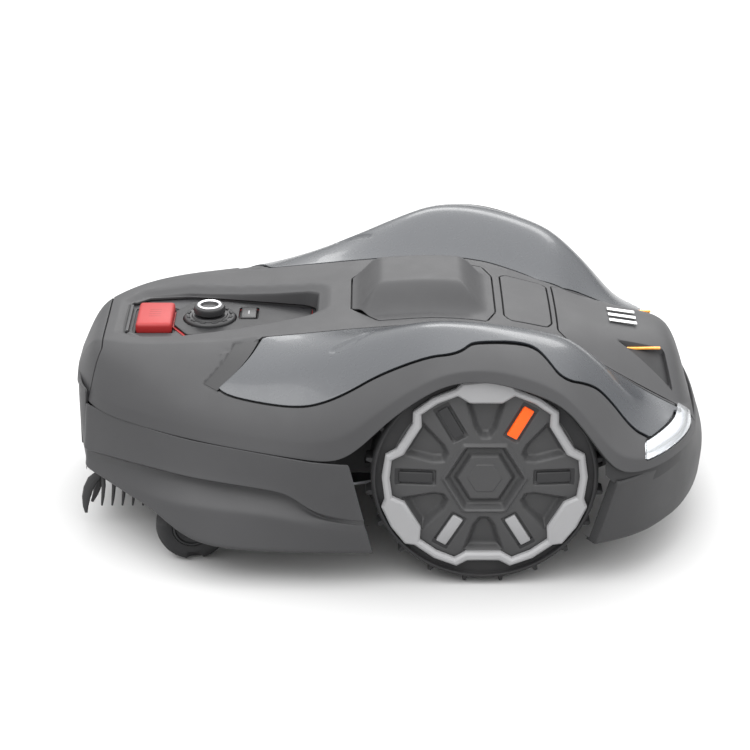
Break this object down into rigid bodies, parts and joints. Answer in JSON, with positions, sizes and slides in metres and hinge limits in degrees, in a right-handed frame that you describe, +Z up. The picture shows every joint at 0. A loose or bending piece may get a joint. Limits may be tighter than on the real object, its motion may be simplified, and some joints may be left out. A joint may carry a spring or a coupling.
{
  "type": "robotic lawn mower",
  "caption": "Wheeled robot that mows a lawn by itself: floating cover, two large drive wheels, two casters, a recessed control console and a height-adjusted blade disc.",
  "frame": {"origin": "on the ground below the middle of the body", "axes": "+X towards the front (driving direction), +Y to the left, +Z up"},
  "size_m": [0.682, 0.474, 0.268],
  "materials": {
    "body_grey": "fine textured satin",
    "gloss_grey": "high gloss",
    "bumper_grey": "fine textured satin",
    "lamp_lens": "clear",
    "lamp_housing": "bright",
    "amber_lens": "translucent gloss",
    "chassis_black": "moulded",
    "battery_shell": "moulded",
    "board_green": "coated",
    "motor_metal": "cast",
    "contact_metal": "bright",
    "blade_steel": "ground",
    "display_gloss": "high gloss",
    "stop_red": "satin",
    "key_black": "satin",
    "tyre_rubber": "moulded",
    "wheel_black": "moulded",
    "wheel_grey": "fine textured satin",
    "ring_silver": "satin",
    "insert_silver": "satin",
    "insert_orange": "satin"
  },
  "bodies": {
    "chassis": {"chassis_base": "chassis_black", "chassis_lid": "chassis_black", "console_tray": "chassis_black", "suspension_posts": "chassis_black", "battery_pack": "battery_shell", "main_circuit_board": "board_green", "wheel_motor_left": "motor_metal", "wheel_motor_right": "motor_metal", "finger_comb": "bumper_grey", "charging_contacts": "contact_metal", "chassis_screws": "contact_metal", "display_window": "display_gloss"},
    "cover": {"top_cover": "body_grey", "side_panel_left": "gloss_grey", "side_panel_right": "gloss_grey", "antenna_box_cover": "body_grey", "badge_plate": "body_grey", "nose_cover": "body_grey", "light_bars": "amber_lens", "headlight_lenses": "lamp_lens", "headlight_housings": "lamp_housing", "tail_piece": "body_grey", "body_skirt": "body_grey", "front_bumper": "bumper_grey"},
    "stop_bar": {"stop_button": "stop_red"},
    "start_pad": {"start_key": "key_black"},
    "dial_ring": {"dial_flange": "key_black"},
    "dial_button": {"dial_knob": "key_black"},
    "cutter_carriage": {"cutting_carriage": "chassis_black", "cutting_motor": "motor_metal"},
    "cutter": {"blade_disc": "motor_metal", "blade_screws": "contact_metal"},
    "blade_a": {"blade_1": "blade_steel"},
    "blade_b": {"blade_2": "blade_steel"},
    "blade_c": {"blade_3": "blade_steel"},
    "skid": {"skid_plate": "chassis_black"},
    "drive_wheel_left": {"drive_tyre_left": "tyre_rubber", "wheel_rim_left": "wheel_black", "drive_shaft_left": "contact_metal", "wheel_cover_left": "wheel_grey", "trim_ring_left": "ring_silver", "slot_inserts_left": "insert_silver", "accent_insert_left": "insert_orange", "hub_cap_left": "wheel_grey"},
    "caster_left": {"caster_fork_left": "wheel_black", "caster_axle_left": "contact_metal"},
    "caster_wheel_left": {"caster_tyre_left": "tyre_rubber", "caster_hub_left": "wheel_black"},
    "drive_wheel_right": {"drive_tyre_right": "tyre_rubber", "wheel_rim_right": "wheel_black", "drive_shaft_right": "contact_metal", "wheel_cover_right": "wheel_grey", "trim_ring_right": "ring_silver", "slot_inserts_right": "insert_silver", "accent_insert_right": "insert_orange", "hub_cap_right": "wheel_grey"},
    "caster_right": {"caster_fork_right": "wheel_black", "caster_axle_right": "contact_metal"},
    "caster_wheel_right": {"caster_tyre_right": "tyre_rubber", "caster_hub_right": "wheel_black"}
  },
  "joints": [
    {"name": "drive_wheel_left_spin", "type": "hinge", "parent": "chassis", "child": "drive_wheel_left", "pos_m": [0.0926, 0.2, 0.122], "axis": [0, 1, 0], "continuous": true},
    {"name": "caster_left_swivel", "type": "hinge", "parent": "chassis", "child": "caster_left", "pos_m": [-0.205, 0.1635, 0.1], "axis": [0, 0, 1], "continuous": true},
    {"name": "caster_wheel_left_spin", "type": "hinge", "parent": "caster_left", "child": "caster_wheel_left", "pos_m": [-0.209, 0.1635, 0.038], "axis": [0, 1, 0], "continuous": true},
    {"name": "drive_wheel_right_spin", "type": "hinge", "parent": "chassis", "child": "drive_wheel_right", "pos_m": [0.0926, -0.2, 0.122], "axis": [0, 1, 0], "continuous": true},
    {"name": "caster_right_swivel", "type": "hinge", "parent": "chassis", "child": "caster_right", "pos_m": [-0.205, -0.1635, 0.1], "axis": [0, 0, 1], "continuous": true},
    {"name": "caster_wheel_right_spin", "type": "hinge", "parent": "caster_right", "child": "caster_wheel_right", "pos_m": [-0.209, -0.1635, 0.038], "axis": [0, 1, 0], "continuous": true},
    {"name": "cover_float", "type": "slide", "parent": "chassis", "child": "cover", "axis": [1, 0, 0], "range_m": [-0.0015, 0.0025], "stiffness_N_per_m": 4000},
    {"name": "stop_press", "type": "slide", "parent": "chassis", "child": "stop_bar", "axis": [0, 0, -1], "range_m": [0, 0.004], "stiffness_N_per_m": 900, "springref_m": -0.001},
    {"name": "start_press", "type": "slide", "parent": "chassis", "child": "start_pad", "axis": [0, 0, -1], "range_m": [0, 0.0012], "stiffness_N_per_m": 600, "springref_m": -0.0005},
    {"name": "dial_turn", "type": "hinge", "parent": "chassis", "child": "dial_ring", "pos_m": [-0.196, 0, 0.2], "axis": [0, 0, 1], "continuous": true},
    {"name": "dial_press", "type": "slide", "parent": "dial_ring", "child": "dial_button", "axis": [0, 0, -1], "range_m": [0, 0.0012], "stiffness_N_per_m": 600, "springref_m": -0.0005},
    {"name": "cutting_height", "type": "slide", "parent": "chassis", "child": "cutter_carriage", "axis": [0, 0, 1], "range_m": [-0.015, 0.025]},
    {"name": "blade_disc_spin", "type": "hinge", "parent": "cutter_carriage", "child": "cutter", "pos_m": [-0.06, 0, 0.047], "axis": [0, 0, 1], "continuous": true},
    {"name": "blade_a_pivot", "type": "hinge", "parent": "cutter", "child": "blade_a", "pos_m": [0.018, 0, 0.045], "axis": [0, 0, 1], "continuous": true},
    {"name": "blade_b_pivot", "type": "hinge", "parent": "cutter", "child": "blade_b", "pos_m": [-0.099, 0.06755, 0.045], "axis": [0, 0, 1], "continuous": true},
    {"name": "blade_c_pivot", "type": "hinge", "parent": "cutter", "child": "blade_c", "pos_m": [-0.099, -0.06755, 0.045], "axis": [0, 0, 1], "continuous": true},
    {"name": "skid_plate_spin", "type": "hinge", "parent": "cutter", "child": "skid", "pos_m": [-0.06, 0, 0.037], "axis": [0, 0, 1], "continuous": true}
  ]
}
